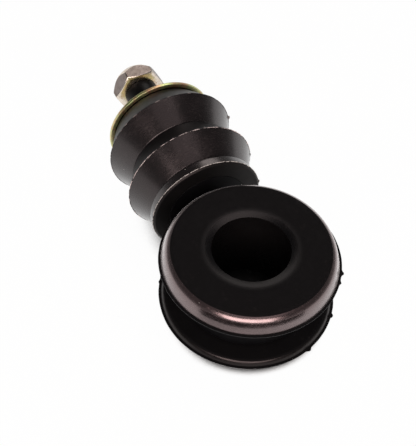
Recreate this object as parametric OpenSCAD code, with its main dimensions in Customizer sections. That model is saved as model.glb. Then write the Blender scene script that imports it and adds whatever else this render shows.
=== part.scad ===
// Anti-roll bar link. The rod's eye holds a grooved rubber bush for the bar, and the rod's
// threaded end clamps a suspension arm between two double-cone rubber bushes.
// Origin at the centre of the bar bore, +Z along that bore, +X along the rod towards the nut.

/* [Eye bush] */
// Diameter over the two moulded ridges
eye_bush_d = 44; // [40:0.5:52]
// Bore that grips the anti-roll bar
bar_d = 19; // [14:0.5:21]
// Rubber between the bar and the steel eye
bush_wall = 4; // [3:0.1:5]
// Thickness of each flange beside the eye
flange_t = 6.25; // [6.05:0.05:9]
// Axial length of the swelling bevel on each flange
bevel_len = 4; // [2:0.05:4.1]
// How far the bevel draws in from the ridge
bevel_in = 1.9; // [1.2:0.1:4]
// How far the middle of the bevel swells out
bevel_swell = 0.15; // [0.05:0.05:0.5]
// Width of the plain band at each ridge
ridge_band = 0.4; // [0.3:0.05:0.6]
// Radial width of the broken edge between that band and the groove
groove_edge_w = 0.75; // [0.2:0.05:1]
// Axial height of that broken edge
groove_edge_h = 1.2; // [0.3:0.1:1.2]
// Radial width of the lead-in at each mouth of the bore
lead_w = 2.3; // [0.5:0.1:3]
// Axial depth of that lead-in
lead_h = 0.6; // [0.2:0.1:1.5]

/* [Rod] */
// Width of the eye along the bar
eye_w = 9.5; // [8:0.1:12]
// Radial wall of the eye
eye_wall = 3.4; // [2:0.1:4]
// Chamfer on the eye's edges
eye_chamfer = 0.6; // [0.2:0.1:1]
// Shank diameter
shank_d = 9.5; // [8.5:0.1:11]
// Nominal thread diameter
thread_d = 8; // [6:0.5:8]
// Diameter of the flange that carries the seat collar
seat_flange_d = 21; // [16:0.5:23]
// Thickness of that flange
seat_flange_t = 1.6; // [1:0.1:2.5]
// Thread that shows past the nut
stud_past_nut = 0.9; // [0.5:0.1:4]
// Chamfer on the end of the thread
stud_chamfer = 0.9; // [0.3:0.1:1.2]

/* [Seat collar] */
// Diameter at the collar's ridge
collar_d = 30.2; // [29.8:0.2:34]
// Length of the collar along the rod
collar_len = 3.8; // [3.3:0.1:8]
// Distance of the ridge from the flat face at the eye
collar_ridge_x = 0.5; // [0.3:0.1:0.8]
// How far that face stays inside the ridge
collar_edge = 0.4; // [0.2:0.1:2]
// Width of the rim behind the ridge
collar_rim = 2.3; // [0.4:0.1:2.4]
// How far the rim draws in over that width
collar_draft = 0.2; // [0.1:0.1:0.8]

/* [Arm bushes] */
// Diameter at each bush's ridge
arm_bush_d = 35.2; // [30:0.2:40]
// Diameter of the flat ends
arm_bush_end_d = 27.6; // [24:0.2:28]
// Length of one bush
arm_bush_len = 13.6; // [10:0.2:18]

/* [Washer] */
// Diameter over the rim
washer_d = 29.8; // [24:0.2:36]
// Sheet thickness
washer_t = 0.9; // [0.7:0.1:2]
// Diameter of the flat middle
washer_flat_d = 22; // [16:0.5:23]
// How far the rim is dished away from the rubber
washer_dish = 0.4; // [0.2:0.1:1.5]

/* [Nut] */
// Width across the flats
nut_af = 13; // [12.5:0.1:14]
// Height of the hexagon
nut_h = 5.1; // [4.8:0.1:9]
// Turn of the hexagon about the rod when the nut is tight
nut_turn = 30; // [0:1:60]
// How far the round end faces stay inside the flats
nut_face_in = 0.35; // [0.1:0.05:0.4]
// Slope of the chamfer from the bearing face to the corners, in degrees
nut_chamfer = 43; // [25:1:45]
// Slope of the steeper chamfer at the outer face, in degrees
nut_crown = 60; // [30:1:60]
// Free length of shank between the washer and the nut
arm_room = 14.2; // [10:0.1:20]
// Diameter of the round collar that holds the locking ring
nut_collar_d = 10.6; // [10.4:0.1:12.2]
// Height of that collar
nut_collar_h = 1.4; // [1.2:0.1:3]
// Thickness of the lip that is turned in over the locking ring
lip_t = 0.45; // [0.3:0.05:0.7]
// Thickness of the locking ring
lock_ring_t = 1.6; // [1:0.1:2.5]
// Radial width of the locking ring
lock_ring_w = 0.6; // [0.4:0.05:0.65]

/* [Moulding and fits] */
// Height of the parting-line flash on the rubber
flash_h = 0.2; // [0.1:0.05:0.5]
// Width of the parting-line flash
flash_w = 0.3; // [0.2:0.05:0.5]
// Radial running clearance of the eye bush in the eye
eye_fit = 0.05; // [0.02:0.01:0.1]
// Gap between a flange and the side of the eye
eye_side_gap = 0.3; // [0.2:0.05:0.6]
// Gap between the eye bush and the rod's flange
eye_end_gap = 2.2; // [0.3:0.1:3]
// Radial clearance of the bushes and the collar on the shank
shank_fit = 0.08; // [0.02:0.01:0.1]
// Radial clearance of the washer on the shank
washer_fit = 0.25; // [0.1:0.05:0.5]
// Radial clearance of the nut and the locking ring on the thread
thread_fit = 0.06; // [0.02:0.01:0.1]
// Radial and axial clearance of the locking ring in the nut
ring_fit = 0.06; // [0.02:0.01:0.1]

/* [Hidden] */
$fn = 96;

// Radii of the eye bush and the eye
ridge_r = eye_bush_d / 2;
bar_r = bar_d / 2;
core_r = bar_r + bush_wall;
eye_in_r = core_r + eye_fit;
eye_out_r = eye_in_r + eye_wall;

// Half lengths along the bar
eye_half = eye_w / 2;
groove_half = eye_half + eye_side_gap;
bush_half = groove_half + flange_t;
ridge_z = bush_half - bevel_len;

// Radii along the rod
shank_r = shank_d / 2;
shank_bore_r = shank_r + shank_fit;
washer_bore_r = shank_r + washer_fit;
thread_r = thread_d / 2;
nut_bore_r = thread_r + thread_fit;
ring_seat_r = nut_bore_r + lock_ring_w + ring_fit;
nut_corner_r = nut_af / 2 / cos(30);
nut_face_r = nut_af / 2 - nut_face_in;
seat_r = seat_flange_d / 2;

// Stations along the rod, from the bar outwards
seat_x = ridge_r + eye_end_gap;
lower_x = seat_x + collar_len;
upper_x = lower_x + arm_bush_len;
washer_x = upper_x + arm_bush_len;
nut_x = washer_x + washer_t + arm_room;
nut_len = nut_h + nut_collar_h;
stud_end_x = nut_x + nut_len + stud_past_nut;

// Locking ring inside the nut, under the turned-in lip
ring_x = nut_len - lip_t - ring_fit - lock_ring_t;

// How far a cut runs past the face it opens
over = 1;

// Heights of the hexagon's two chamfers at its corners
hex_chamfer = (nut_corner_r - nut_face_r) * tan(nut_chamfer);
hex_crown = (nut_corner_r - nut_face_r) * tan(nut_crown);

// Turns a profile of [radius, distance along the rod] about the rod's axis
module about_rod(x, points) {
    translate([x, 0, 0])
        rotate([0, 90, 0])
            rotate_extrude()
                polygon(points);
}

// Ridge of a moulded ring at ridge_x, with a parting-line flash on it
function flash_ridge(ridge, ridge_x) = [
    [ridge, ridge_x - flash_w / 2],
    [ridge + flash_h, ridge_x - flash_w / 2],
    [ridge + flash_h, ridge_x + flash_w / 2],
    [ridge, ridge_x + flash_w / 2]
];

// One half of the eye bush's outer profile, from the groove to the mouth of the bore
function flange_profile(side) = [
    [core_r, side * groove_half],
    [eye_out_r, side * groove_half],
    [ridge_r - groove_edge_w, side * (ridge_z - ridge_band - groove_edge_h)],
    [ridge_r, side * (ridge_z - ridge_band)],
    [ridge_r, side * ridge_z],
    [ridge_r - bevel_in / 2 + bevel_swell, side * (ridge_z + bevel_len / 2)],
    [ridge_r - bevel_in, side * bush_half],
    [bar_r + lead_w, side * bush_half],
    [bar_r, side * (bush_half - lead_h)]
];

// Forged steel rod: the eye, a neck as thick as the eye, the collar's flange, the shank and the thread
module link_rod() {
    color([0.10, 0.10, 0.11])
    difference() {
        union() {
            eye_blank();
            about_rod(0, [
                [0, core_r],
                [eye_half, core_r],
                [eye_half, seat_x],
                [seat_r, seat_x],
                [seat_r, seat_x + seat_flange_t],
                [shank_r, seat_x + seat_flange_t],
                [shank_r, nut_x],
                [thread_r, nut_x],
                [thread_r, stud_end_x - stud_chamfer],
                [thread_r - stud_chamfer, stud_end_x],
                [0, stud_end_x]
            ]);
        }
        cylinder(h = eye_w + 2 * over, r = eye_in_r, center = true);
    }
}

// Outside of the eye, with its edges broken, before its bore is cut
module eye_blank() {
    rotate_extrude()
        polygon([
            [0, -eye_half],
            [eye_out_r - eye_chamfer, -eye_half],
            [eye_out_r, eye_chamfer - eye_half],
            [eye_out_r, eye_half - eye_chamfer],
            [eye_out_r - eye_chamfer, eye_half],
            [0, eye_half]
        ]);
}

// Rubber bush in the eye: two beveled flanges on a core, with the eye in the groove between them
module eye_bush() {
    upper = flange_profile(1);
    lower = flange_profile(-1);
    color([0.13, 0.12, 0.13])
    rotate_extrude()
        polygon(concat(upper, [for (i = [len(lower) - 1:-1:0]) lower[i]]));
}

// Moulded collar over the rod's flange, which carries the lower bush
module seat_collar() {
    color([0.12, 0.12, 0.13])
    difference() {
        about_rod(seat_x, concat(
            [
                [shank_bore_r, 0],
                [collar_d / 2 - collar_edge, 0]
            ],
            flash_ridge(collar_d / 2, collar_ridge_x),
            [
                [collar_d / 2 - collar_draft, collar_ridge_x + collar_rim],
                [arm_bush_end_d / 2, collar_len],
                [shank_bore_r, collar_len]
            ]
        ));
        about_rod(seat_x, [
            [0, -over],
            [seat_r + shank_fit, -over],
            [seat_r + shank_fit, seat_flange_t],
            [0, seat_flange_t]
        ]);
    }
}

// One double-cone rubber bush, standing at x
module arm_bush(x) {
    about_rod(x, concat(
        [
            [shank_bore_r, 0],
            [arm_bush_end_d / 2, 0]
        ],
        flash_ridge(arm_bush_d / 2, arm_bush_len / 2),
        [
            [arm_bush_end_d / 2, arm_bush_len],
            [shank_bore_r, arm_bush_len]
        ]
    ));
}

module lower_bush() {
    color([0.15, 0.14, 0.15])
    arm_bush(lower_x);
}

module upper_bush() {
    color([0.15, 0.14, 0.15])
    arm_bush(upper_x);
}

// Pressed washer: a flat middle on the rubber and a rim dished away from it
module cup_washer() {
    color([0.72, 0.62, 0.33])
    about_rod(washer_x, [
        [washer_bore_r, 0],
        [washer_flat_d / 2, 0],
        [washer_d / 2, washer_dish],
        [washer_d / 2, washer_dish + washer_t],
        [washer_flat_d / 2, washer_t],
        [washer_bore_r, washer_t]
    ]);
}

// Self-locking hexagon nut with a round collar at its outer end
module lock_nut() {
    color([0.70, 0.68, 0.67])
    difference() {
        union() {
            intersection() {
                translate([nut_x, 0, 0])
                    rotate([0, 90, 0])
                        rotate(nut_turn)
                            cylinder(h = nut_h, r = nut_corner_r, $fn = 6);
                about_rod(nut_x, [
                    [0, 0],
                    [nut_face_r, 0],
                    [nut_corner_r, hex_chamfer],
                    [nut_corner_r, nut_h - hex_crown],
                    [nut_face_r, nut_h],
                    [0, nut_h]
                ]);
            }
            about_rod(nut_x, [
                [0, nut_h / 2],
                [nut_collar_d / 2, nut_h / 2],
                [nut_collar_d / 2, nut_len - lip_t],
                [nut_collar_d / 2 - lip_t, nut_len],
                [0, nut_len]
            ]);
        }
        about_rod(nut_x, [
            [0, -over],
            [nut_bore_r, -over],
            [nut_bore_r, ring_x],
            [ring_seat_r, ring_x],
            [ring_seat_r, nut_len - lip_t],
            [nut_bore_r, nut_len - lip_t],
            [nut_bore_r, nut_len + over],
            [0, nut_len + over]
        ]);
    }
}

// Nylon ring that grips the thread
module lock_ring() {
    color([0.16, 0.18, 0.24])
    about_rod(nut_x + ring_x, [
        [nut_bore_r, 0],
        [nut_bore_r + lock_ring_w, 0],
        [nut_bore_r + lock_ring_w, lock_ring_t],
        [nut_bore_r, lock_ring_t]
    ]);
}

link_rod();
eye_bush();
seat_collar();
lower_bush();
upper_bush();
cup_washer();
lock_nut();
lock_ring();
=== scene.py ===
"""Looks of an anti-roll bar link: moulded rubber bushes on a black rod, with a zinc washer and nut."""

import logging
import math
from collections.abc import Sequence
from dataclasses import dataclass, field
from enum import Enum, IntEnum

import bmesh
import bpy
from mathutils import Matrix, Vector, noise


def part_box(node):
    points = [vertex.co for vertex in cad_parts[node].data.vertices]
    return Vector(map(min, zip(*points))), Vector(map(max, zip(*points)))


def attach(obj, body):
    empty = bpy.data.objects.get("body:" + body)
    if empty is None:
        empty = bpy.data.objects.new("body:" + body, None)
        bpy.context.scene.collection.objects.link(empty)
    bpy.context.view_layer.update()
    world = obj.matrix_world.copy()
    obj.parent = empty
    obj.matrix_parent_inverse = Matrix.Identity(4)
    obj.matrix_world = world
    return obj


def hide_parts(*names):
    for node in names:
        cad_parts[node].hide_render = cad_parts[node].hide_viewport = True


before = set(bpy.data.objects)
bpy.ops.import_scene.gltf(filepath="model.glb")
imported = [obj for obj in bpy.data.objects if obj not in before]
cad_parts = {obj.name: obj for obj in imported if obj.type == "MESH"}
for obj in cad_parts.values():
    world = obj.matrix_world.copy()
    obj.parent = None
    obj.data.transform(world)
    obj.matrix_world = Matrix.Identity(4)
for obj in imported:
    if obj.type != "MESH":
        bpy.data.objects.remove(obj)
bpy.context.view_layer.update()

log = logging.getLogger("anti_roll_bar_link")

MM = 0.001
MERGE = 1e-7
# Rounding of turned corners: how near a vertex counts as on the corner, in mm, and the steps of a round
ON_CORNER = 0.004
WIDE_ROUND = 0.5
WIDE_STEPS = 6
FINE_STEPS = 3
# Torn flash: noise cells round the ring for its waves and its tears, and how deep the tears go
WAVE_CELLS = 9.0
TEAR_CELLS = 30.0
TEAR_DEPTH = 0.8
# Radius over the ridge from which a vertex belongs to the fin, in mm
FIN_FOOT = 0.02
# Cell of the slight unevenness of moulded rubber, in mm
SWELL_CELL = 9.0
# Fold from which an edge is drawn sharp, in degrees
SHARP_FOLD = 40.0

# Least squared length of a strip, in square mm, so that nothing is divided by nought
TINY = 1e-12

Colour = tuple[float, float, float, float]
Triple = tuple[float, float, float]
Span = tuple[float, float]
Tree = bpy.types.NodeTree
Socket = bpy.types.NodeSocket
Material = bpy.types.Material
Piece = bpy.types.Object
BMesh = bmesh.types.BMesh


class Axis(Enum):
    """Axis that a piece is turned about: the bar's bore or the rod."""

    BAR = (0.0, 0.0, 1.0)
    ROD = (1.0, 0.0, 0.0)

    def place(self, radius: float, station: float) -> Vector:
        """Point of a profile before it is turned.

        Args:
            radius: distance from the axis, in mm.
            station: distance along the axis, in mm.

        Returns:
            The point in metres.
        """
        if self is Axis.BAR:
            return Vector((radius, 0.0, station)) * MM
        return Vector((station, radius, 0.0)) * MM

    def split(self, point: Vector) -> Triple:
        """Cylindrical coordinates of a point about this axis.

        Args:
            point: position in metres.

        Returns:
            Radius in mm, angle in degrees and station in mm.
        """
        if self is Axis.BAR:
            across, up, along = point.x, point.y, point.z
        else:
            across, up, along = point.y, point.z, point.x
        return math.hypot(across, up) / MM, math.degrees(math.atan2(up, across)), along / MM

    def push(self, point: Vector, amount: float) -> Vector:
        """Point moved away from the axis.

        Args:
            point: position in metres.
            amount: outward travel in mm.

        Returns:
            The moved point in metres.
        """
        axis = Vector(self.value)
        outward = point - axis * point.dot(axis)
        return point + outward.normalized() * amount * MM

    def stretch(self, times: float) -> Triple:
        """Scale that packs a pattern along this axis, so that it runs round it in streaks.

        Args:
            times: how much closer the pattern lies along the axis.

        Returns:
            Scale along X, Y and Z.
        """
        return tuple(times if part else 1.0 for part in self.value)


def colour(code: str) -> Colour:
    """Linear colour of an sRGB hex code.

    Args:
        code: six hex digits.

    Returns:
        Red, green, blue and an alpha of one.
    """
    parts = [int(code[i : i + 2], 16) / 255 for i in (0, 2, 4)]
    linear = [p / 12.92 if p <= 0.04045 else ((p + 0.055) / 1.055) ** 2.4 for p in parts]
    return (linear[0], linear[1], linear[2], 1.0)


def add(
    tree: Tree,
    kind: str,
    sockets: dict[str | int, object] | None = None,
    **settings: object,
) -> bpy.types.Node:
    """Add one node with its settings, values and links.

    Args:
        tree: node tree that gets the node.
        kind: type name of the node.
        sockets: input name or number to a value, or to the output that feeds it.
        settings: properties of the node.

    Returns:
        The new node.
    """
    node = tree.nodes.new(kind)
    for name, value in settings.items():
        setattr(node, name, value)
    for key, value in (sockets or {}).items():
        if isinstance(value, bpy.types.NodeSocket):
            tree.links.new(value, node.inputs[key])
        else:
            node.inputs[key].default_value = value
    return node


# Input and output numbers of the Mix node: its colour form, then its value form
MIX_FACTOR, MIX_A, MIX_B, MIX_RESULT = 0, 6, 7, 2
VALUE_A, VALUE_B, VALUE_RESULT = 2, 3, 0


def blend(tree: Tree, factor: Socket, low: Socket | Colour, high: Socket | Colour) -> Socket:
    """Mix two colours.

    Args:
        tree: node tree that gets the node.
        factor: output that picks between them.
        low: colour where the factor is nought, or the output that gives it.
        high: the same where the factor is one.

    Returns:
        Output of the mixed colour.
    """
    sockets = {MIX_FACTOR: factor, MIX_A: low, MIX_B: high}
    return add(tree, "ShaderNodeMix", sockets, data_type="RGBA").outputs[MIX_RESULT]


def ramp(tree: Tree, value: Socket, source: Span, target: Span = (0.0, 1.0), soft: bool = False) -> Socket:
    """Map one range of values to another, held at both ends.

    Args:
        tree: node tree that gets the node.
        value: output to map.
        source: range that comes in.
        target: range that goes out.
        soft: whether the ends run out smoothly.

    Returns:
        Output of the mapped value.
    """
    sockets = {"Value": value, "From Min": source[0], "From Max": source[1]}
    sockets |= {"To Min": target[0], "To Max": target[1]}
    kind = "SMOOTHSTEP" if soft else "LINEAR"
    return add(tree, "ShaderNodeMapRange", sockets, interpolation_type=kind).outputs["Result"]


def reckon(tree: Tree, operation: str, first: Socket, second: Socket) -> Socket:
    """Work out one value from two.

    Args:
        tree: node tree that gets the node.
        operation: name of the sum.
        first: output of the first value.
        second: output of the second value.

    Returns:
        Output of the result.
    """
    return add(tree, "ShaderNodeMath", {0: first, 1: second}, operation=operation).outputs["Value"]


def clouds(
    tree: Tree, where: Socket, cell_mm: float, detail: float, rough: float = 0.5, twist: float = 0.0
) -> Socket:
    """Cloudy noise with cells of a real size.

    Args:
        tree: node tree that gets the node.
        where: output that gives the place on the piece.
        cell_mm: size of a cell, in mm.
        detail: how many finer layers lie on it.
        rough: how strong those layers are.
        twist: how much it is distorted.

    Returns:
        Output from about nought to one.
    """
    sockets = {"Vector": where, "Scale": 1 / (cell_mm * MM), "Detail": detail}
    sockets |= {"Roughness": rough, "Distortion": twist}
    return add(tree, "ShaderNodeTexNoise", sockets).outputs["Fac"]


def bump(tree: Tree, height: Socket, height_mm: float, over: Socket | None = None) -> Socket:
    """Relief of a real height.

    Args:
        tree: node tree that gets the node.
        height: output of the height, from nought to one.
        height_mm: height of one, in mm.
        over: normal of the relief that this one lies on.

    Returns:
        Output of the bumped normal.
    """
    sockets = {"Height": height, "Distance": height_mm * MM, "Strength": 1.0}
    if over is not None:
        sockets["Normal"] = over
    return add(tree, "ShaderNodeBump", sockets).outputs["Normal"]


def empty_material(name: str) -> Material:
    """New material with an empty node tree.

    Args:
        name: its name.

    Returns:
        The material.
    """
    material = bpy.data.materials.new(name)
    material.use_nodes = True
    material.node_tree.nodes.clear()
    return material


@dataclass(frozen=True)
class MouldedRubber:
    """Vulcanised rubber as it leaves a steel mould.

    Soot-black and nearly without diffuse colour, so the eye reads it by its gloss: a matt mould
    leaves it velvety, a polished one gives a satin sheen. Tool marks of the mould run round the
    axis as fine streaks, handling leaves pale scuffs, and dust sits on it in specks.
    """

    name: str
    base: str
    pale: str
    roughness: float
    index: float
    gloss: float = 0.5
    film: float = 0.0
    bloom: float = 0.0
    bloom_roughness: float = 0.4
    tint: str = "ffeeec"
    axis: Axis = Axis.BAR
    cloud_mm: float = 9.0
    grain_mm: float = 0.45
    grain_height_mm: float = 0.003
    streak_mm: float = 1.6
    streak_pack: float = 4.0
    streak_height_mm: float = 0.004
    uneven: Span = (0.7, 1.3)
    smoother: float = 0.07
    rougher: float = 0.1
    scuff: float = 0.0
    scuff_colour: str = "7d7673"
    handled: Span = (0.46, 0.66)
    streaked: Span = (0.52, 0.7)
    smooth_in_mm: float = 0.0
    smooth_out_mm: float = 0.0
    smooth_roughness: float = 0.3
    dust_share: float = 0.25
    dust_gap_mm: float = 4.5
    dust_radius_mm: float = 0.15
    dust_colour: str = "bdb8b2"

    def build(self) -> Material:
        """Make the material.

        Returns:
            The new material.
        """
        material = empty_material(self.name)
        tree = material.node_tree
        where = add(tree, "ShaderNodeTexCoord").outputs["Object"]
        cloud = clouds(tree, where, self.cloud_mm, 4.0, 0.6)
        packed = {0: where, 1: self.axis.stretch(self.streak_pack)}
        round_axis = add(tree, "ShaderNodeVectorMath", packed, operation="MULTIPLY").outputs["Vector"]
        streak = clouds(tree, round_axis, self.streak_mm, 4.0, 0.6)
        clouded = blend(tree, cloud, colour(self.base), colour(self.pale))
        scuffed = blend(tree, self.rubbed(tree, cloud, streak), clouded, colour(self.scuff_colour))
        dusty = blend(tree, self.dust(tree, where), scuffed, colour(self.dust_colour))
        uneven = reckon(tree, "ADD", streak, cloud)
        spread = (self.roughness - self.smoother, self.roughness + self.rougher)
        rough = ramp(tree, uneven, self.uneven, spread)
        if self.smooth_out_mm:
            rough = self.worn_smooth(tree, where, rough)
        shader = add(
            tree,
            "ShaderNodeBsdfPrincipled",
            {
                "Base Color": dusty,
                "Roughness": rough,
                "IOR": self.index,
                "Specular IOR Level": self.gloss,
                "Specular Tint": colour(self.tint),
                "Coat Weight": self.film,
                "Coat Roughness": self.roughness,
                "Sheen Weight": self.bloom,
                "Sheen Roughness": self.bloom_roughness,
                "Normal": self.relief(tree, where, streak),
            },
        )
        add(tree, "ShaderNodeOutputMaterial", {"Surface": shader.outputs["BSDF"]})
        return material

    def worn_smooth(self, tree: Tree, where: Socket, rough: Socket) -> Socket:
        """Roughness that falls towards the bore, where the rubber is worn smooth.

        Args:
            tree: the material's node tree.
            where: output that gives the place on the piece.
            rough: output of the roughness away from the bore.

        Returns:
            Output of the roughness.
        """
        flat = {0: where, 1: tuple(1.0 - part for part in self.axis.value)}
        across = add(tree, "ShaderNodeVectorMath", flat, operation="MULTIPLY").outputs["Vector"]
        radius = add(tree, "ShaderNodeVectorMath", {0: across}, operation="LENGTH").outputs["Value"]
        span = (self.smooth_in_mm * MM, self.smooth_out_mm * MM)
        away = ramp(tree, radius, span, soft=True)
        sockets = {MIX_FACTOR: away, VALUE_A: self.smooth_roughness, VALUE_B: rough}
        return add(tree, "ShaderNodeMix", sockets, data_type="FLOAT").outputs[VALUE_RESULT]

    def relief(self, tree: Tree, where: Socket, streak: Socket) -> Socket:
        """Grain of the mould over its tool marks.

        Args:
            tree: the material's node tree.
            where: output that gives the place on the piece.
            streak: output of the tool marks.

        Returns:
            Output of the bumped normal.
        """
        marks = bump(tree, streak, self.streak_height_mm)
        grain = clouds(tree, where, self.grain_mm, 3.0)
        return bump(tree, grain, self.grain_height_mm, marks)

    def rubbed(self, tree: Tree, cloud: Socket, streak: Socket) -> Socket:
        """Scuffs, where a streak crosses a handled area.

        Args:
            tree: the material's node tree.
            cloud: output of the broad areas.
            streak: output of the streaks.

        Returns:
            Output from nought to the share of scuffing.
        """
        area = ramp(tree, cloud, self.handled, soft=True)
        line = ramp(tree, streak, self.streaked, (0.0, self.scuff), soft=True)
        return reckon(tree, "MULTIPLY", area, line)

    def dust(self, tree: Tree, where: Socket) -> Socket:
        """Sparse specks, one in some cells of a scatter.

        Args:
            tree: the material's node tree.
            where: output that gives the place on the piece.

        Returns:
            Output that is one on a speck and nought elsewhere.
        """
        scatter = {"Vector": where, "Scale": 1 / (self.dust_gap_mm * MM), "Randomness": 1.0}
        cells = add(tree, "ShaderNodeTexVoronoi", scatter)
        chance = add(tree, "ShaderNodeSeparateColor", {"Color": cells.outputs["Color"]}).outputs["Red"]
        largest = self.dust_radius_mm / self.dust_gap_mm
        size = ramp(tree, chance, (1 - self.dust_share, 1.0), (0.0, largest))
        return reckon(tree, "LESS_THAN", cells.outputs["Distance"], size)


@dataclass(frozen=True)
class TornFlashPaintedGlint:
    """Thin rubber fin at a parting line, torn off and partly worn pale.

    The pale stretches show as a broken pale thread between black ones; their colour is partly worn rubber
    and partly a painted highlight, the light that the thin fin catches.
    """

    name: str
    share: float
    pale: str = "cfc9c4"
    base: str = "151314"
    length_mm: float = 3.0
    roughness: float = 0.5
    index: float = 1.5
    spread: float = 0.4
    fade_in: float = 0.03
    fade_out: float = 0.07

    def build(self) -> Material:
        """Make the material.

        Returns:
            The new material.
        """
        material = empty_material(self.name)
        tree = material.node_tree
        where = add(tree, "ShaderNodeTexCoord").outputs["Object"]
        # Pale stretches: worn rubber, and a painted highlight of the fin's edge
        worn = clouds(tree, where, self.length_mm, 6.0, 0.7)
        edge = 0.5 + (0.5 - self.share) * self.spread
        broken = ramp(tree, worn, (edge - self.fade_in, edge + self.fade_out), soft=True)
        thread = blend(tree, broken, colour(self.base), colour(self.pale))
        sockets = {"Base Color": thread, "Roughness": self.roughness, "IOR": self.index}
        shader = add(tree, "ShaderNodeBsdfPrincipled", sockets)
        add(tree, "ShaderNodeOutputMaterial", {"Surface": shader.outputs["BSDF"]})
        return material


@dataclass(frozen=True)
class PlatedSteel:
    """Zinc plate with a passivating dip over pressed or forged steel.

    A soft metal gloss. The dip leaves a thin film whose colour drifts from place to place, and
    the blank under it leaves fine dull pits and lines.
    """

    name: str
    base: str
    drift: str
    flush: str
    roughness: float
    drift_mm: float
    flush_share: float = 0.6
    flush_finer: float = 1.7
    drift_in: Span = (0.4, 0.6)
    flush_in: Span = (0.5, 0.64)
    pit_mm: float = 0.7
    pit_height_mm: float = 0.03
    pit_dark: float = 0.35
    pit_colour: str = "38322e"
    pit_in: Span = (0.56, 0.72)
    pit_range: Span = (0.3, 0.7)
    smoother: float = 0.06
    rougher: float = 0.12

    def build(self) -> Material:
        """Make the material.

        Returns:
            The new material.
        """
        material = empty_material(self.name)
        tree = material.node_tree
        where = add(tree, "ShaderNodeTexCoord").outputs["Object"]
        film = clouds(tree, where, self.drift_mm, 2.0)
        stain = clouds(tree, where, self.drift_mm / self.flush_finer, 3.0, twist=0.6)
        pits = clouds(tree, where, self.pit_mm, 5.0, 0.65)
        drifted = blend(tree, ramp(tree, film, self.drift_in), colour(self.base), colour(self.drift))
        patches = ramp(tree, stain, self.flush_in, (0.0, self.flush_share))
        flushed = blend(tree, patches, drifted, colour(self.flush))
        dulled = ramp(tree, pits, self.pit_in, (0.0, self.pit_dark))
        spread = (self.roughness - self.smoother, self.roughness + self.rougher)
        shader = add(
            tree,
            "ShaderNodeBsdfPrincipled",
            {
                "Base Color": blend(tree, dulled, flushed, colour(self.pit_colour)),
                "Metallic": 1.0,
                "Roughness": ramp(tree, pits, self.pit_range, spread),
                "Normal": bump(tree, pits, self.pit_height_mm),
            },
        )
        add(tree, "ShaderNodeOutputMaterial", {"Surface": shader.outputs["BSDF"]})
        return material


Finish = MouldedRubber | TornFlashPaintedGlint | PlatedSteel

# Matt mould: the broad faces swallow the light
FACE_RUBBER = MouldedRubber(
    "moulded_rubber_matt", "040405", "09090a", 0.72, 1.45, gloss=0.14, tint="fff6f5", scuff=0.03,
    smooth_in_mm=10.8, smooth_out_mm=12.5, smooth_roughness=0.25,
)
# Polished mould: the bevels keep a satin sheen, streaked by the mould's tool marks
BEVEL_RUBBER = MouldedRubber(
    "moulded_rubber_satin", "0c0809", "181011", 0.22, 2.2, film=1.0, bloom=0.4, tint="ffd6d5",
    scuff=0.06, streak_mm=1.2, streak_pack=3.0, streak_height_mm=0.005, grain_height_mm=0.0015,
)
# Broken edge towards the groove, and the wall of the bore: duller than the bevel
EDGE_RUBBER = MouldedRubber("moulded_rubber_edge", "090808", "100f0f", 0.3, 1.5, gloss=0.35)
# Cones of the arm bushes: satin, rubbed pale here and there
CONE_RUBBER = MouldedRubber(
    "moulded_rubber_cone", "090808", "171314", 0.25, 1.5, gloss=0.35, film=0.6, tint="ffe0de",
    axis=Axis.ROD, scuff=0.09, cloud_mm=7.0, streak_mm=1.1, streak_height_mm=0.006,
)
# Collar: its flat face is matt like the eye bush's. The bushes' far cones take it too; on the lower bush
# this duller, darker rubber darkens the crease between the bushes, painted shade
COLLAR_RUBBER = MouldedRubber(
    "moulded_rubber_collar", "090909", "100f0f", 0.42, 1.45, gloss=0.2, axis=Axis.ROD
)
# Fins at the parting lines, from much worn to hardly worn; their pale thread is partly wear and partly a
# painted highlight of the fin
FLASH_WORN_AND_GLINT = TornFlashPaintedGlint("torn_flash_worn_and_painted_glint", 0.65, pale="c9c3bd", length_mm=0.8)
FLASH_PART_WORN_AND_GLINT = TornFlashPaintedGlint("torn_flash_part_worn_and_painted_glint", 0.55, pale="d6c8c4", length_mm=1.6)
FLASH_FAINT = TornFlashPaintedGlint("torn_flash_faint", 0.45, pale="8d8380", length_mm=1.8)
FLASH_DARK = TornFlashPaintedGlint("torn_flash_dark", 0.15, pale="4e4a49")
# Stoved black paint on steel: thin, with a little orange peel
ROD_COAT = MouldedRubber(
    "stoved_black_paint", "070708", "0d0c0e", 0.4, 1.5, gloss=0.12, axis=Axis.ROD, grain_mm=0.8,
    tint="ffffff",
)
# Nylon: dark and waxy
RING_NYLON = MouldedRubber(
    "moulded_nylon", "2b3040", "333a4d", 0.45, 1.53, axis=Axis.ROD, dust_share=0.02, tint="ffffff"
)
# Yellow passivated zinc: gold that drifts to olive, with reddish patches
WASHER_ZINC = PlatedSteel(
    "yellow_passivated_zinc", "e2d0a0", "c6cf92", "d8957e", 0.36, 5.0, pit_dark=0.15
)
# The side that lies on the rubber: a dark copy of the zinc, painted shade that stands for the shadow in the
# gap against the rubber
WASHER_PAINTED_SHADE = PlatedSteel("yellow_passivated_zinc_painted_shade", "3a3426", "2c2a20", "33261f", 0.5, 5.0)
# Clear passivated zinc on a cold-formed blank: warm grey and a little pitted
NUT_ZINC = PlatedSteel("clear_passivated_zinc", "90847f", "81766f", "75675b", 0.34, 4.0)
# The same zinc over a turned face: brighter and smoother
NUT_TURNED = PlatedSteel(
    "clear_passivated_zinc_turned", "eadfd2", "dccfc0", "b9a08a", 0.2, 3.0, pit_dark=0.3
)


@dataclass(frozen=True)
class Corner:
    """Corner of a turned profile, with the finish of the strip that starts at it."""

    radius: float
    station: float
    round: float = 0.0
    finish: int = 0


@dataclass(frozen=True)
class Tab:
    """Torn tab of flash on a ridge, on one side of the middle where a piece has two ridges."""

    angle: float
    width: float
    height: float
    side: int = 0


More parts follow.
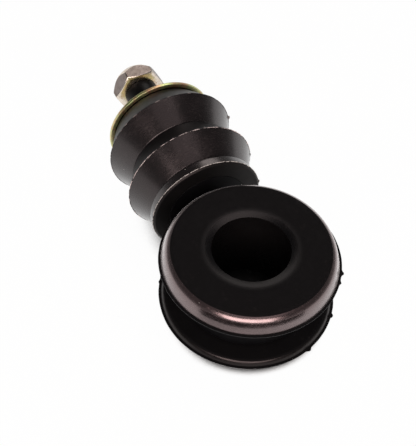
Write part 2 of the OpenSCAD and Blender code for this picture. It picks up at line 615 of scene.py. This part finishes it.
def spin_profile(corners: Sequence[Corner], axis: Axis, steps: int) -> BMesh:
    """Turn a closed profile about an axis and round its corners.

    Args:
        corners: the profile, in order round its section.
        axis: axis that it is turned about.
        steps: flats round the axis.

    Returns:
        A closed mesh whose faces carry the finish of their strip.
    """
    bm = bmesh.new()
    points = [bm.verts.new(axis.place(c.radius, c.station)) for c in corners]
    lines = [bm.edges.new((a, b)) for a, b in zip(points, points[1:] + points[:1])]
    bmesh.ops.spin(
        bm,
        geom=points + lines,
        cent=(0.0, 0.0, 0.0),
        axis=axis.value,
        angle=math.tau,
        steps=steps,
        use_merge=True,
    )
    bmesh.ops.remove_doubles(bm, verts=bm.verts, dist=MERGE)
    bmesh.ops.dissolve_degenerate(bm, dist=MERGE, edges=bm.edges)
    bmesh.ops.recalc_face_normals(bm, faces=bm.faces)
    paint_strips(bm, corners, axis)
    for corner in corners:
        if corner.round > 0:
            round_ring(bm, axis, corner)
    return bm


def paint_strips(bm: BMesh, corners: Sequence[Corner], axis: Axis) -> None:
    """Give each face the finish number of the profile strip that it lies on.

    Args:
        bm: the turned mesh.
        corners: its profile.
        axis: axis that it was turned about.
    """
    strips = list(zip(corners, [*corners[1:], corners[0]]))
    for face in bm.faces:
        spots = [axis.split(v.co) for v in face.verts]
        here = Vector((sum(s[0] for s in spots), sum(s[2] for s in spots))) / len(spots)

        def gap(strip: tuple[Corner, Corner]) -> float:
            """Distance from the face's middle to a strip."""
            a = Vector((strip[0].radius, strip[0].station))
            b = Vector((strip[1].radius, strip[1].station))
            along = (here - a).dot(b - a) / max((b - a).length_squared, TINY)
            return (here - a - (b - a) * max(0.0, min(1.0, along))).length

        face.material_index = min(strips, key=gap)[0].finish


def round_edges(bm: BMesh, edges: Sequence[bmesh.types.BMEdge], width: float, steps: int) -> None:
    """Round some edges of a mesh.

    Args:
        bm: the mesh.
        edges: edges to round.
        width: how far the round reaches from the edge, in mm.
        steps: flats across the round.
    """
    bmesh.ops.bevel(
        bm,
        geom=edges,
        offset=width * MM,
        offset_type="OFFSET",
        segments=steps,
        profile=0.5,
        affect="EDGES",
        clamp_overlap=True,
        material=-1,
    )


def slice_off(bm: BMesh, point: Vector, outward: Vector) -> list[bmesh.types.BMFace]:
    """Cut a mesh with a plane, drop what lies outside and close the cut.

    Args:
        bm: the mesh.
        point: a point of the plane, in metres.
        outward: normal of the plane, towards the side that is dropped.

    Returns:
        The faces that close the cut.
    """
    cut = bmesh.ops.bisect_plane(
        bm,
        geom=[*bm.verts, *bm.edges, *bm.faces],
        plane_co=point,
        plane_no=outward,
        dist=MERGE,
        clear_outer=True,
    )
    rim = [e for e in cut["geom_cut"] if isinstance(e, bmesh.types.BMEdge)]
    return bmesh.ops.contextual_create(bm, geom=rim)["faces"]


def round_ring(bm: BMesh, axis: Axis, corner: Corner) -> None:
    """Round one corner of a turned mesh.

    Args:
        bm: the turned mesh.
        axis: axis that it was turned about.
        corner: corner to round.
    """

    def on_ring(vert: bmesh.types.BMVert) -> bool:
        """Whether a vertex lies on the corner's ring."""
        radius, _, station = axis.split(vert.co)
        return max(abs(radius - corner.radius), abs(station - corner.station)) < ON_CORNER

    edges = [e for e in bm.edges if all(on_ring(v) for v in e.verts)]
    round_edges(bm, edges, corner.round, WIDE_STEPS if corner.round > WIDE_ROUND else FINE_STEPS)


def wavy(angle: float, seed: float, turns: float) -> float:
    """Smooth value round a ring, the same at 0 and 360 degrees.

    Args:
        angle: degrees round the ring.
        seed: offset that makes rings differ.
        turns: size of the ring in noise cells.

    Returns:
        A value from about -1 to 1.
    """
    a = math.radians(angle)
    return noise.noise(Vector((turns * math.cos(a), turns * math.sin(a), seed)))


def tear_flash(
    bm: BMesh,
    axis: Axis,
    ridge: float,
    seed: float,
    tabs: Sequence[Tab],
    mean: float,
    ragged: float,
) -> None:
    """Make the fin at a parting line ragged, with a few torn tabs.

    Args:
        bm: the turned mesh.
        axis: axis that it was turned about.
        ridge: radius under the fin, in mm.
        seed: offset of the raggedness.
        tabs: torn tabs.
        mean: mean height of the fin, in mm.
        ragged: share of that height by which it varies.
    """
    for vert in bm.verts:
        radius, angle, station = axis.split(vert.co)
        if radius < ridge + FIN_FOOT:
            continue
        waves = wavy(angle, seed, WAVE_CELLS)
        tears = wavy(angle, seed + 5, TEAR_CELLS)
        height = mean * (1 + ragged * (waves + TEAR_DEPTH * tears))
        for tab in tabs:
            if tab.side * station < 0:
                continue
            off = (angle - tab.angle + 180) % 360 - 180
            share = math.radians(off) * ridge / tab.width
            height += tab.height * math.exp(-(share**4))
        vert.co = axis.push(vert.co, ridge + height - radius)


def swell(bm: BMesh, axis: Axis, inner: float, seed: float, height: float) -> None:
    """Give a moulded surface the slight unevenness of rubber.

    Args:
        bm: the turned mesh.
        axis: axis that it was turned about.
        inner: radius inside which nothing moves, in mm.
        seed: offset of the unevenness.
        height: its height, in mm.
    """
    cell = SWELL_CELL * MM
    for vert in bm.verts:
        radius, _, _ = axis.split(vert.co)
        if radius > inner:
            value = noise.noise(vert.co / cell + Vector((seed, 0.0, 0.0)))
            vert.co = axis.push(vert.co, value * height)


@dataclass
class FinishShop:
    """Makes each finish once."""

    made: dict[str, Material] = field(default_factory=dict)

    def material(self, finish: Finish) -> Material:
        """Material of a finish, made when it is first asked for.

        Args:
            finish: the finish.

        Returns:
            Its material.
        """
        if finish.name not in self.made:
            self.made[finish.name] = finish.build()
        return self.made[finish.name]


shop = FinishShop()


@dataclass(frozen=True)
class Berth:
    """Place of a piece in the frame: its node, the body that carries it and its slot."""

    node: str
    body: str
    slot: str


def place_mesh(bm: BMesh, name: str, materials: Sequence[Material]) -> Piece:
    """Put a mesh into the scene as an object.

    Args:
        bm: the mesh, which is freed.
        name: name of the object.
        materials: materials in the order of the faces' numbers.

    Returns:
        The new object.
    """
    mesh = bpy.data.meshes.new(name)
    bm.to_mesh(mesh)
    bm.free()
    for material in materials:
        mesh.materials.append(material)
    thing = bpy.data.objects.new(name, mesh)
    bpy.context.scene.collection.objects.link(thing)
    return thing


def fit_out(bm: BMesh, name: str, berth: Berth, finishes: Sequence[Finish]) -> Piece:
    """Turn a mesh into a piece that stands for a node of the frame.

    Args:
        bm: the mesh, which is freed.
        name: name of the piece.
        berth: place of the piece.
        finishes: finishes in the order of the faces' numbers.

    Returns:
        The new object.
    """
    for face in bm.faces:
        face.smooth = True
    piece = place_mesh(bm, name, [shop.material(finish) for finish in finishes])
    piece.data.set_sharp_from_angle(angle=math.radians(SHARP_FOLD))
    piece.modifiers.new("even_shading", "WEIGHTED_NORMAL").keep_sharp = True
    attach(piece, berth.body)
    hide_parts(berth.node)
    log.info("%s: %d faces", name, len(piece.data.polygons))
    return piece


class BushZone(IntEnum):
    """Zones of the eye bush, in the order of its finishes."""

    FACE = 0
    BEVEL = 1
    FLASH = 2
    EDGE = 3


@dataclass
class EyeBush:
    """Grooved rubber bush in the rod's eye."""

    berth: Berth = Berth("eye_bush", "eye_bush", "eye_rubber")
    ridge: float = 22.0
    bar: float = 9.5
    core: float = 13.5
    eye_out: float = 16.95
    groove_half: float = 5.05
    bevel_foot: float = 21.4
    bevel_len: float = 4.0
    bevel_head: float = 19.9
    bulge: float = 0.3
    bevel_swell: float = 0.15
    band: float = 0.4
    edge_w: float = 0.6
    edge_h: float = 1.2
    matt_slope: float = 20.0
    lead_w: float = 2.3
    lead_h: float = 0.6
    lead_run: float = 2.0
    groove_run: float = 1.0
    fin_w: float = 0.12
    ragged: float = 0.05
    flash_seed: float = 3.0
    swell_seed: float = 7.0
    swell_height: float = 0.04
    steps: int = 360
    tabs: tuple[Tab, ...] = (
        Tab(235.5, 0.55, 0.5, 1),
        Tab(228.0, 0.4, 0.35, 1),
        Tab(81.5, 0.35, 0.15, 1),
        Tab(228.0, 0.5, 0.45, -1),
        Tab(197.5, 0.6, 0.5, -1),
        Tab(59.0, 0.4, 0.25, -1),
    )

    def side(self, half: float, way: int) -> list[Corner]:
        """Profile of one flange, from the groove to the mouth of the bore or back.

        Args:
            half: half of the bush's length, in mm.
            way: 1 for the upper flange, -1 for the lower one, which runs back to the groove.

        Returns:
            Its corners.
        """
        ridge_z = half - self.bevel_len
        face_z = half + self.bulge if way > 0 else half
        band_z = ridge_z - self.band
        fin_z = ridge_z - self.band / 2
        middle = (self.bevel_foot + self.bevel_head) / 2 + self.bevel_swell
        rows = [
            (self.core, self.groove_half, 0.3, BushZone.FACE),
            (self.eye_out, self.groove_half, 0.5, BushZone.FACE),
            (self.bevel_foot - self.edge_w, band_z - self.edge_h, 0.7, BushZone.EDGE),
            (self.bevel_foot, band_z, 0.0, BushZone.FACE),
            (self.ridge, fin_z - self.fin_w / 2, 0.0, BushZone.FLASH),
            (self.ridge, fin_z + self.fin_w / 2, 0.0, BushZone.FACE),
            (self.bevel_foot, ridge_z, 0.0, BushZone.BEVEL),
            (middle, (ridge_z + face_z) / 2, 0.5, BushZone.BEVEL),
            (self.bevel_head, face_z, 1.5, BushZone.FACE),
            (self.bar + self.lead_w, face_z, 1.9, BushZone.FACE),
            (self.bar, face_z - self.lead_h, 0.0, BushZone.EDGE),
        ]
        if way < 0:
            starts = [row[3] for row in rows[:-1]][::-1]
            zones = [*starts, BushZone.FACE]
            rows = [(r, z, e, zone) for (r, z, e, _), zone in zip(rows[::-1], zones)]
        return [Corner(r, way * z, e, zone) for r, z, e, zone in rows]

    def build(self) -> Piece:
        """Model the bush and dress it.

        Returns:
            The piece.
        """
        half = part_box(self.berth.node)[1].z / MM
        fin = self.ridge - self.bevel_foot
        bm = spin_profile(self.side(half, 1) + self.side(half, -1), Axis.BAR, self.steps)
        self.part_finishes(bm)
        tear_flash(bm, Axis.BAR, self.bevel_foot, self.flash_seed, self.tabs, fin, self.ragged)
        swell(bm, Axis.BAR, self.eye_out + self.groove_run, self.swell_seed, self.swell_height)
        finishes = (FACE_RUBBER, BEVEL_RUBBER, FLASH_DARK, EDGE_RUBBER)
        return fit_out(bm, "eye_bush_moulding", self.berth, finishes)

    def part_finishes(self, bm: BMesh) -> None:
        """Part the matt faces from the polished bevels on the round between them.

        Args:
            bm: the turned mesh.
        """
        bm.normal_update()
        level = math.cos(math.radians(self.matt_slope))
        inner = self.bar + self.lead_w + self.lead_run
        lowest = self.groove_half + self.groove_run
        for face in bm.faces:
            radius, _, station = Axis.BAR.split(face.calc_center_median())
            outside = inner < radius < self.bevel_foot and abs(station) > lowest
            if outside and face.material_index in (BushZone.FACE, BushZone.BEVEL):
                matt = abs(face.normal.z) > level
                face.material_index = BushZone.FACE if matt else BushZone.BEVEL


class RingZone(IntEnum):
    """Zones of a moulded ring, in the order of its finishes."""

    NEAR = 0
    FLASH = 1
    FAR = 2


@dataclass(kw_only=True)
class ConeRing:
    """Moulded ring on the shank, with two cones that meet at a ridge."""

    berth: Berth
    seed: float
    finishes: tuple[Finish, Finish, Finish]
    ridge: float = 17.6
    near_end: float = 13.8
    far_end: float = 13.8
    ridge_at: float = 6.8
    tabs: tuple[Tab, ...] = ()
    seat: Span | None = None
    rim: Span | None = None
    bore: float = 4.83
    flash: float = 0.1
    flash_w: float = 0.1
    ragged: float = 0.6
    edge: float = 0.22
    swell_from: float = 11.0
    swell_height: float = 0.05
    steps: int = 300

    def corners(self, start: float, end: float) -> list[Corner]:
        """Profile of the ring between two stations.

        Args:
            start: station of the end at the eye, in mm.
            end: station of the other end, in mm.

        Returns:
            Its corners.
        """
        ridge_x = start + self.ridge_at
        low, high = ridge_x - self.flash_w / 2, ridge_x + self.flash_w / 2
        inner = [Corner(self.bore, start, 0.2)]
        if self.seat:
            radius, depth = self.seat
            inner = [
                Corner(self.bore, start + depth),
                Corner(radius, start + depth),
                Corner(radius, start, 0.05),
            ]
        behind = []
        if self.rim:
            width, draft = self.rim
            behind = [Corner(self.ridge - draft, ridge_x + width, 0.3, RingZone.FAR)]
        return [
            *inner,
            Corner(self.near_end, start, min(self.edge, self.ridge_at / 3)),
            Corner(self.ridge, low, 0.0, RingZone.FLASH),
            Corner(self.ridge + self.flash, low, 0.0, RingZone.FLASH),
            Corner(self.ridge + self.flash, high, 0.0, RingZone.FLASH),
            Corner(self.ridge, high, 0.0, RingZone.FAR),
            *behind,
            Corner(self.far_end, end, self.edge, RingZone.FAR),
            Corner(self.bore, end, 0.2),
        ]

    def build(self) -> Piece:
        """Model the ring and dress it.

        Returns:
            The piece.
        """
        low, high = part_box(self.berth.node)
        bm = spin_profile(self.corners(low.x / MM, high.x / MM), Axis.ROD, self.steps)
        tear_flash(bm, Axis.ROD, self.ridge, self.seed, self.tabs, self.flash, self.ragged)
        swell(bm, Axis.ROD, self.swell_from, self.seed, self.swell_height)
        return fit_out(bm, f"{self.berth.node}_moulding", self.berth, self.finishes)


class WasherZone(IntEnum):
    """Zones of the washer, in the order of its finishes."""

    BRIGHT = 0
    PAINTED_SHADE = 1


@dataclass
class CupWasher:
    """Pressed washer with a rim dished away from the rubber."""

    berth: Berth = Berth("cup_washer", "cup_washer", "washer_zinc")
    bore: float = 5.0
    flat: float = 11.0
    rim: float = 14.9
    sheet: float = 0.9
    dish: float = 0.4
    painted_shade_to: float = 13.9
    steps: int = 240

    def build(self) -> Piece:
        """Model the washer and dress it.

        Returns:
            The piece.
        """
        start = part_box(self.berth.node)[0].x / MM
        rise = self.dish * (self.painted_shade_to - self.flat) / (self.rim - self.flat)
        # From the bore nearly to the rim, the underside takes the dark zinc: painted shade where it faces
        # the rubber
        corners = [
            Corner(self.bore, start, 0.15, WasherZone.PAINTED_SHADE),
            Corner(self.flat, start, 0.6, WasherZone.PAINTED_SHADE),
            Corner(self.painted_shade_to, start + rise, 0.0, WasherZone.BRIGHT),
            Corner(self.rim, start + self.dish, 0.08),
            Corner(self.rim, start + self.dish + self.sheet, 0.16),
            Corner(self.flat, start + self.sheet, 0.6),
            Corner(self.bore, start + self.sheet, 0.25),
        ]
        bm = spin_profile(corners, Axis.ROD, self.steps)
        return fit_out(bm, "cup_washer_pressing", self.berth, (WASHER_ZINC, WASHER_PAINTED_SHADE))


class NutZone(IntEnum):
    """Zones of the nut, in the order of its finishes."""

    FORGED = 0
    TURNED = 1


@dataclass
class LockNut:
    """Self-locking hexagon nut with a round collar."""

    berth: Berth = Berth("lock_nut", "lock_nut", "nut_zinc")
    flats: float = 13.0
    face_in: float = 0.35
    slope: float = 31.0
    crown: float = 60.0
    hex_height: float = 5.1
    collar: float = 5.3
    bore: float = 4.06
    mouth: float = 4.5
    ring_seat: float = 4.72
    ring_depth: float = 1.66
    lip: float = 0.45
    corner_flat: float = 0.06
    edge: float = 0.09
    edge_steps: int = 2
    steps: int = 240
    strip_corners: int = 12

    def blank(self, start: float, end: float) -> list[Corner]:
        """Turned blank that the flats are cut from.

        Args:
            start: station of the bearing face, in mm.
            end: station of the collar's end, in mm.

        Returns:
            Its corners.
        """
        corner = self.flats / 2 / math.cos(math.pi / 6) - self.corner_flat
        face = self.flats / 2 - self.face_in
        chamfer = (corner - face) * math.tan(math.radians(self.slope))
        crown = (corner - face) * math.tan(math.radians(self.crown))
        top = start + self.hex_height
        seat_end = end - self.lip
        turned = NutZone.TURNED
        return [
            Corner(self.bore, start + self.mouth - self.bore, 0.0, turned),
            Corner(self.mouth, start, 0.0, turned),
            Corner(face, start, 0.0, turned),
            Corner(corner, start + chamfer, 0.0, NutZone.FORGED),
            Corner(corner, top - crown, 0.0, turned),
            Corner(face, top, 0.0, turned),
            Corner(self.collar, top, 0.15, turned),
            Corner(self.collar, seat_end, 0.2, turned),
            Corner(self.collar - self.lip, end, 0.12, turned),
            Corner(self.bore, end, 0.0, turned),
            Corner(self.bore, seat_end),
            Corner(self.ring_seat, seat_end),
            Corner(self.ring_seat, seat_end - self.ring_depth),
            Corner(self.bore, seat_end - self.ring_depth),
        ]

    def build(self) -> Piece:
        """Model the nut and dress it.

        Returns:
            The piece.
        """
        low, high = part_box(self.berth.node)
        bm = spin_profile(self.blank(low.x / MM, high.x / MM), Axis.ROD, self.steps)
        for k in range(6):
            self.cut_flat(bm, math.radians(30 + 60 * k))
        bmesh.ops.recalc_face_normals(bm, faces=bm.faces)
        self.break_edges(bm)
        return fit_out(bm, "lock_nut_forging", self.berth, (NUT_ZINC, NUT_TURNED))

    def cut_flat(self, bm: BMesh, angle: float) -> None:
        """Cut one flat of the hexagon.

        Args:
            bm: the blank.
            angle: direction of the flat round the rod, in radians.
        """
        outward = Vector((0.0, math.cos(angle), math.sin(angle)))
        for face in slice_off(bm, outward * self.flats / 2 * MM, outward):
            face.material_index = NutZone.FORGED

    def break_edges(self, bm: BMesh) -> None:
        """Break the edges of the flats.

        Args:
            bm: the cut nut.
        """
        flats = [f for f in bm.faces if len(f.verts) > self.strip_corners]
        edges = {e for f in flats for e in f.edges}
        round_edges(bm, list(edges), self.edge, self.edge_steps)


@dataclass
class LockRing:
    """Nylon ring that grips the thread inside the nut's collar."""

    berth: Berth = Berth("lock_ring", "lock_ring", "ring_nylon")
    inner: float = 4.06
    outer: float = 4.66
    edge: float = 0.12
    steps: int = 96

    def build(self) -> Piece:
        """Model the ring and dress it.

        Returns:
            The piece.
        """
        low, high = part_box(self.berth.node)
        start, end = low.x / MM, high.x / MM
        corners = [
            Corner(self.inner, start, self.edge),
            Corner(self.outer, start, self.edge),
            Corner(self.outer, end, self.edge),
            Corner(self.inner, end, self.edge),
        ]
        bm = spin_profile(corners, Axis.ROD, self.steps)
        return fit_out(bm, "lock_ring_moulding", self.berth, (RING_NYLON,))


@dataclass
class LinkRod:
    """Rod forged in one piece: the eye, its neck, the collar's flange, the shank and the thread."""

    berth: Berth = Berth("link_rod", "link", "rod_black")
    eye_half: float = 4.75
    eye_in: float = 13.55
    eye_out: float = 16.95
    eye_edge: float = 0.6
    seat: float = 10.5
    seat_len: float = 1.6
    shank: float = 4.75
    thread: float = 4.0
    pitch: float = 1.25
    thread_depth: float = 0.72
    thread_before: float = 0.5
    thread_foot: float = 0.16
    thread_crest: Span = (0.58, 0.74)
    thread_back: float = 1.16
    weld: float = 1e-6
    tip: float = 0.9
    root_in: float = 1.2
    eye_steps: int = 240
    stem_steps: int = 160
    turn_steps: int = 48
    spare_turns: int = 2

    def build(self) -> Piece:
        """Model the rod and dress it.

        Returns:
            The piece.
        """
        bm = self.eye()
        for part in (self.stem(), self.screw()):
            shell = bpy.data.meshes.new("shell")
            part.to_mesh(shell)
            part.free()
            bm.from_mesh(shell)
            bpy.data.meshes.remove(shell)
        return fit_out(bm, "link_rod_forging", self.berth, (ROD_COAT,))

    def eye(self) -> BMesh:
        """Ring of the eye.

        Returns:
            Its mesh.
        """
        corners = [
            Corner(self.eye_in, -self.eye_half, 0.3),
            Corner(self.eye_out, -self.eye_half, self.eye_edge),
            Corner(self.eye_out, self.eye_half, self.eye_edge),
            Corner(self.eye_in, self.eye_half, 0.3),
        ]
        return spin_profile(corners, Axis.BAR, self.eye_steps)

    def stem(self) -> BMesh:
        """Neck, flange and shank.

        Returns:
            Their mesh.
        """
        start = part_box("seat_collar")[0].x / MM
        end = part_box("lock_nut")[0].x / MM
        root = self.eye_out - self.root_in
        corners = [
            Corner(0.0, root),
            Corner(self.eye_half, root),
            Corner(self.eye_half, start, 1.0),
            Corner(self.seat, start, 0.05),
            Corner(self.seat, start + self.seat_len, 0.05),
            Corner(self.shank, start + self.seat_len),
            Corner(self.shank, end, 0.3),
            Corner(0.0, end),
        ]
        return spin_profile(corners, Axis.ROD, self.stem_steps)

    def screw(self) -> BMesh:
        """Thread from the shank to the end of the rod.

        Returns:
            Its mesh.
        """
        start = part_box("lock_nut")[0].x / MM - self.thread_before
        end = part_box(self.berth.node)[1].x / MM
        root = self.thread - self.thread_depth
        first = start - self.spare_turns * self.pitch
        turns = math.ceil((end - first) / self.pitch) + self.spare_turns
        rise, fall = self.thread_crest
        rows = (
            (root, 0.0),
            (root, self.thread_foot),
            (self.thread, rise),
            (self.thread, fall),
            (root, self.thread_back),
            (root, self.pitch),
        )
        bm = bmesh.new()
        points = [bm.verts.new(Axis.ROD.place(r, first + x)) for r, x in rows]
        lines = [bm.edges.new((a, b)) for a, b in zip(points, points[1:])]
        bmesh.ops.spin(
            bm,
            geom=points + lines,
            cent=(0.0, 0.0, 0.0),
            axis=Axis.ROD.value,
            dvec=(self.pitch / self.turn_steps * MM, 0.0, 0.0),
            angle=math.tau * turns,
            steps=self.turn_steps * turns,
        )
        bmesh.ops.remove_doubles(bm, verts=bm.verts, dist=self.weld)
        for station, way in ((start, -1.0), (end, 1.0)):
            slice_off(bm, Vector((station * MM, 0.0, 0.0)), Vector((way, 0.0, 0.0)))
        self.chamfer_tip(bm, end)
        bmesh.ops.recalc_face_normals(bm, faces=bm.faces)
        return bm

    def chamfer_tip(self, bm: BMesh, end: float) -> None:
        """Draw the last thread in to a chamfer.

        Args:
            bm: the thread.
            end: station of the rod's end, in mm.
        """
        for vert in bm.verts:
            radius, _, station = Axis.ROD.split(vert.co)
            allowed = self.thread - self.tip + (end - station)
            if radius > allowed:
                vert.co = Axis.ROD.push(vert.co, allowed - radius)


@dataclass(frozen=True)
class SoftBox:
    """Lamp with a wide face that looks at the link.

    Its way runs from the link to the lamp, its distance and sides are in metres, and its radiance tells how
    bright its face looks, where 1 is white.
    """

    name: str
    way: Triple
    distance: float
    sides: Span
    radiance: float
    tone: Triple

    def hang(self) -> None:
        """Hang the lamp in the scene."""
        width, height = self.sides
        lamp = bpy.data.lights.new(self.name, "AREA")
        lamp.shape = "RECTANGLE"
        lamp.size = width
        lamp.size_y = height
        lamp.energy = self.radiance * math.pi * width * height
        lamp.color = self.tone
        box = bpy.data.objects.new(self.name, lamp)
        out = Vector(self.way).normalized()
        turn = out.to_track_quat("Z", "Y").to_matrix().to_4x4()
        box.matrix_world = Matrix.Translation(out * self.distance) @ turn
        bpy.context.scene.collection.objects.link(box)
        log.info("lamp %s: %.2f W", self.name, lamp.energy)


SOFT_BOXES = (
    SoftBox("key", (-0.762, 0.368, 0.533), 0.8, (0.75, 0.46), 6.5, (1.0, 0.88, 0.86)),
    SoftBox("overhead", (0.18, -0.26, 0.95), 0.9, (0.36, 0.36), 4.6, (1.0, 0.9, 0.89)),
    SoftBox("ceiling", (-0.31, 0.02, 0.95), 0.9, (0.6, 0.6), 0.5, (1.0, 0.88, 0.89)),
    SoftBox("far_fill", (0.68, -0.36, 0.64), 0.9, (0.38, 0.38), 2.7, (1.0, 0.95, 0.92)),
)


@dataclass
class Studio:
    """Pale ground, soft light and the camera."""

    camera_at: Triple = (-105.11, 66.26, 175.10)
    camera_right: Triple = (-0.4151, -0.9090, 0.0387)
    camera_up: Triple = (0.7221, -0.3033, 0.6218)
    focal_px: float = 871.9
    image_px: tuple[int, int] = (416, 446)
    sensor: float = 36.0
    clip: Span = (0.005, 20.0)
    ground_half: float = 1500.0
    paper: str = "f6f6f4"
    paper_shaded: str = "303030"
    shade_reach: float = 0.05
    shade_samples: int = 24
    shade: Span = (0.23, 0.44)
    glow: float = 0.98
    flag_away: float = 59.0
    flag_high: float = 23.0
    flag_from: float = 108.0
    flag_to: float = 206.0
    flag_steps: int = 24
    felt: str = "2a2626"
    glare_band: Span = (-0.01, 0.07)
    glare: float = 0.7
    haze_band: Span = (0.0, 0.5)
    haze: Span = (0.3, 0.09)

    def place_camera(self) -> None:
        """Put the camera where the photograph was taken from."""
        data = bpy.data.cameras.new("camera")
        data.sensor_width = self.sensor
        data.lens = self.focal_px / max(self.image_px) * self.sensor
        data.clip_start, data.clip_end = self.clip
        right = Vector(self.camera_right).normalized()
        up = Vector(self.camera_up)
        up = (up - right * up.dot(right)).normalized()
        turn = Matrix((right, up, right.cross(up))).transposed().to_4x4()
        camera = bpy.data.objects.new("camera", data)
        camera.matrix_world = Matrix.Translation(Vector(self.camera_at) * MM) @ turn
        bpy.context.scene.collection.objects.link(camera)
        bpy.context.scene.camera = camera
        log.info("camera: %.1f mm lens", data.lens)

    def rest_plane(self) -> tuple[Vector, Vector]:
        """Plane that the link lies on: under the lower bush's ridge and the eye bush's far rim.

        Returns:
            A point of the plane and its upward normal.
        """
        low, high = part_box("lower_bush")
        heel = Vector(((low.x + high.x) / 2, 0.0, low.z))
        eye_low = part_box("eye_bush")[0]
        toe = Vector((-EyeBush.bevel_head * MM, 0.0, eye_low.z))
        normal = (heel - toe).cross(Vector((0.0, 1.0, 0.0))).normalized()
        return toe, normal if normal.z > 0 else -normal

    def lay_ground(self) -> None:
        """Lay the pale ground under the link."""
        point, normal = self.rest_plane()
        bm = bmesh.new()
        bmesh.ops.create_grid(bm, x_segments=1, y_segments=1, size=self.ground_half * MM)
        turn = Vector((0.0, 0.0, 1.0)).rotation_difference(normal).to_matrix()
        bmesh.ops.rotate(bm, verts=bm.verts, cent=(0.0, 0.0, 0.0), matrix=turn)
        bmesh.ops.translate(bm, verts=bm.verts, vec=point)
        ground = place_mesh(bm, "ground", [self.ground_material()])

    def stand_flag(self) -> None:
        """Stand a low black flag before the link, which darkens what the front of the rubber mirrors."""
        point, _ = self.rest_plane()
        bm = bmesh.new()
        start = math.radians(self.flag_from)
        foot = Vector((math.cos(start), math.sin(start), 0.0)) * self.flag_away * MM
        foot.z = point.z
        ends = [bm.verts.new(foot), bm.verts.new(foot + Vector((0.0, 0.0, self.flag_high * MM)))]
        bmesh.ops.spin(
            bm,
            geom=[*ends, bm.edges.new(ends)],
            cent=(0.0, 0.0, 0.0),
            axis=Axis.BAR.value,
            angle=math.radians(self.flag_to - self.flag_from),
            steps=self.flag_steps,
        )
        flag = place_mesh(bm, "flag", [self.flag_material()])
        flag.visible_camera = False
        flag.visible_shadow = False

    def flag_material(self) -> Material:
        """Black felt, which gives back hardly any light.

        Returns:
            The new material.
        """
        material = empty_material("black_felt")
        tree = material.node_tree
        felt = add(tree, "ShaderNodeBsdfDiffuse", {"Color": colour(self.felt)})
        add(tree, "ShaderNodeOutputMaterial", {"Surface": felt.outputs["BSDF"]})
        return material

    def ground_material(self) -> Material:
        """White paper that shows white in the open and keeps the link's shadow.

        Returns:
            The new material.
        """
        material = empty_material("white_paper")
        tree = material.node_tree
        path = add(tree, "ShaderNodeLightPath").outputs
        seen = reckon(tree, "MAXIMUM", path["Is Camera Ray"], path["Is Glossy Ray"])
        shown = reckon(tree, "MAXIMUM", seen, path["Is Transmission Ray"])
        reach = {"Distance": self.shade_reach}
        open_sky = add(tree, "ShaderNodeAmbientOcclusion", reach, samples=self.shade_samples)
        lit = ramp(tree, open_sky.outputs["AO"], self.shade, soft=True)
        glowing = reckon(tree, "MULTIPLY", shown, ramp(tree, lit, (0.0, 1.0), (0.0, self.glow)))
        sheet = blend(tree, lit, colour(self.paper_shaded), colour(self.paper))
        paper = add(tree, "ShaderNodeBsdfDiffuse", {"Color": sheet})
        glow = add(tree, "ShaderNodeEmission", {"Color": colour("ffffff"), "Strength": 1.0})
        mixed = add(
            tree,
            "ShaderNodeMixShader",
            {0: glowing, 1: paper.outputs["BSDF"], 2: glow.outputs["Emission"]},
        )
        add(tree, "ShaderNodeOutputMaterial", {"Surface": mixed.outputs["Shader"]})
        return material

    def light(self) -> None:
        """Set the sky and the soft boxes."""
        scene = bpy.context.scene
        scene.view_settings.view_transform = "Standard"
        world = bpy.data.worlds.new("studio")
        world.use_nodes = True
        tree = world.node_tree
        tree.nodes.clear()
        way = add(tree, "ShaderNodeTexCoord").outputs["Generated"]
        height = add(tree, "ShaderNodeSeparateXYZ", {"Vector": way}).outputs["Z"]
        glare = ramp(tree, height, self.glare_band, (self.glare, 0.0), soft=True)
        haze = ramp(tree, height, self.haze_band, self.haze, soft=True)
        level = reckon(tree, "ADD", glare, haze)
        sky = add(tree, "ShaderNodeBackground", {"Color": colour("ffffff"), "Strength": level})
        add(tree, "ShaderNodeOutputWorld", {"Surface": sky.outputs["Background"]})
        scene.world = world
        for soft_box in SOFT_BOXES:
            soft_box.hang()


def write_sizes() -> None:
    """Bring the view layer up to date."""
    bpy.context.view_layer.update()


def main() -> None:
    """Build the link piece by piece, then the studio."""
    logging.basicConfig(level=logging.INFO, format="%(name)s: %(message)s")
    LinkRod().build()
    EyeBush().build()
    ConeRing(
        berth=Berth("seat_collar", "link", "collar_rubber"),
        ridge=15.1,
        near_end=14.7,
        ridge_at=0.5,
        seed=11.0,
        finishes=(COLLAR_RUBBER, FLASH_WORN_AND_GLINT, CONE_RUBBER),
        tabs=(Tab(170.5, 0.6, 0.35),),
        seat=(10.58, 1.6),
        rim=(2.3, 0.2),
    ).build()
    ConeRing(
        berth=Berth("lower_bush", "link", "bush_rubber"),
        seed=21.0,
        # Its far cone, in the crease, takes the collar's duller rubber: painted shade
        finishes=(CONE_RUBBER, FLASH_PART_WORN_AND_GLINT, COLLAR_RUBBER),
        tabs=(Tab(174.5, 0.4, 0.2),),
    ).build()
    ConeRing(
        berth=Berth("upper_bush", "upper_bush", "bush_rubber"),
        seed=31.0,
        finishes=(CONE_RUBBER, FLASH_FAINT, COLLAR_RUBBER),
        tabs=(Tab(169.0, 0.6, 0.45),),
    ).build()
    CupWasher().build()
    LockNut().build()
    LockRing().build()
    studio = Studio()
    studio.lay_ground()
    studio.stand_flag()
    studio.light()
    studio.place_camera()
    write_sizes()


if __name__ == "__main__":
    main()
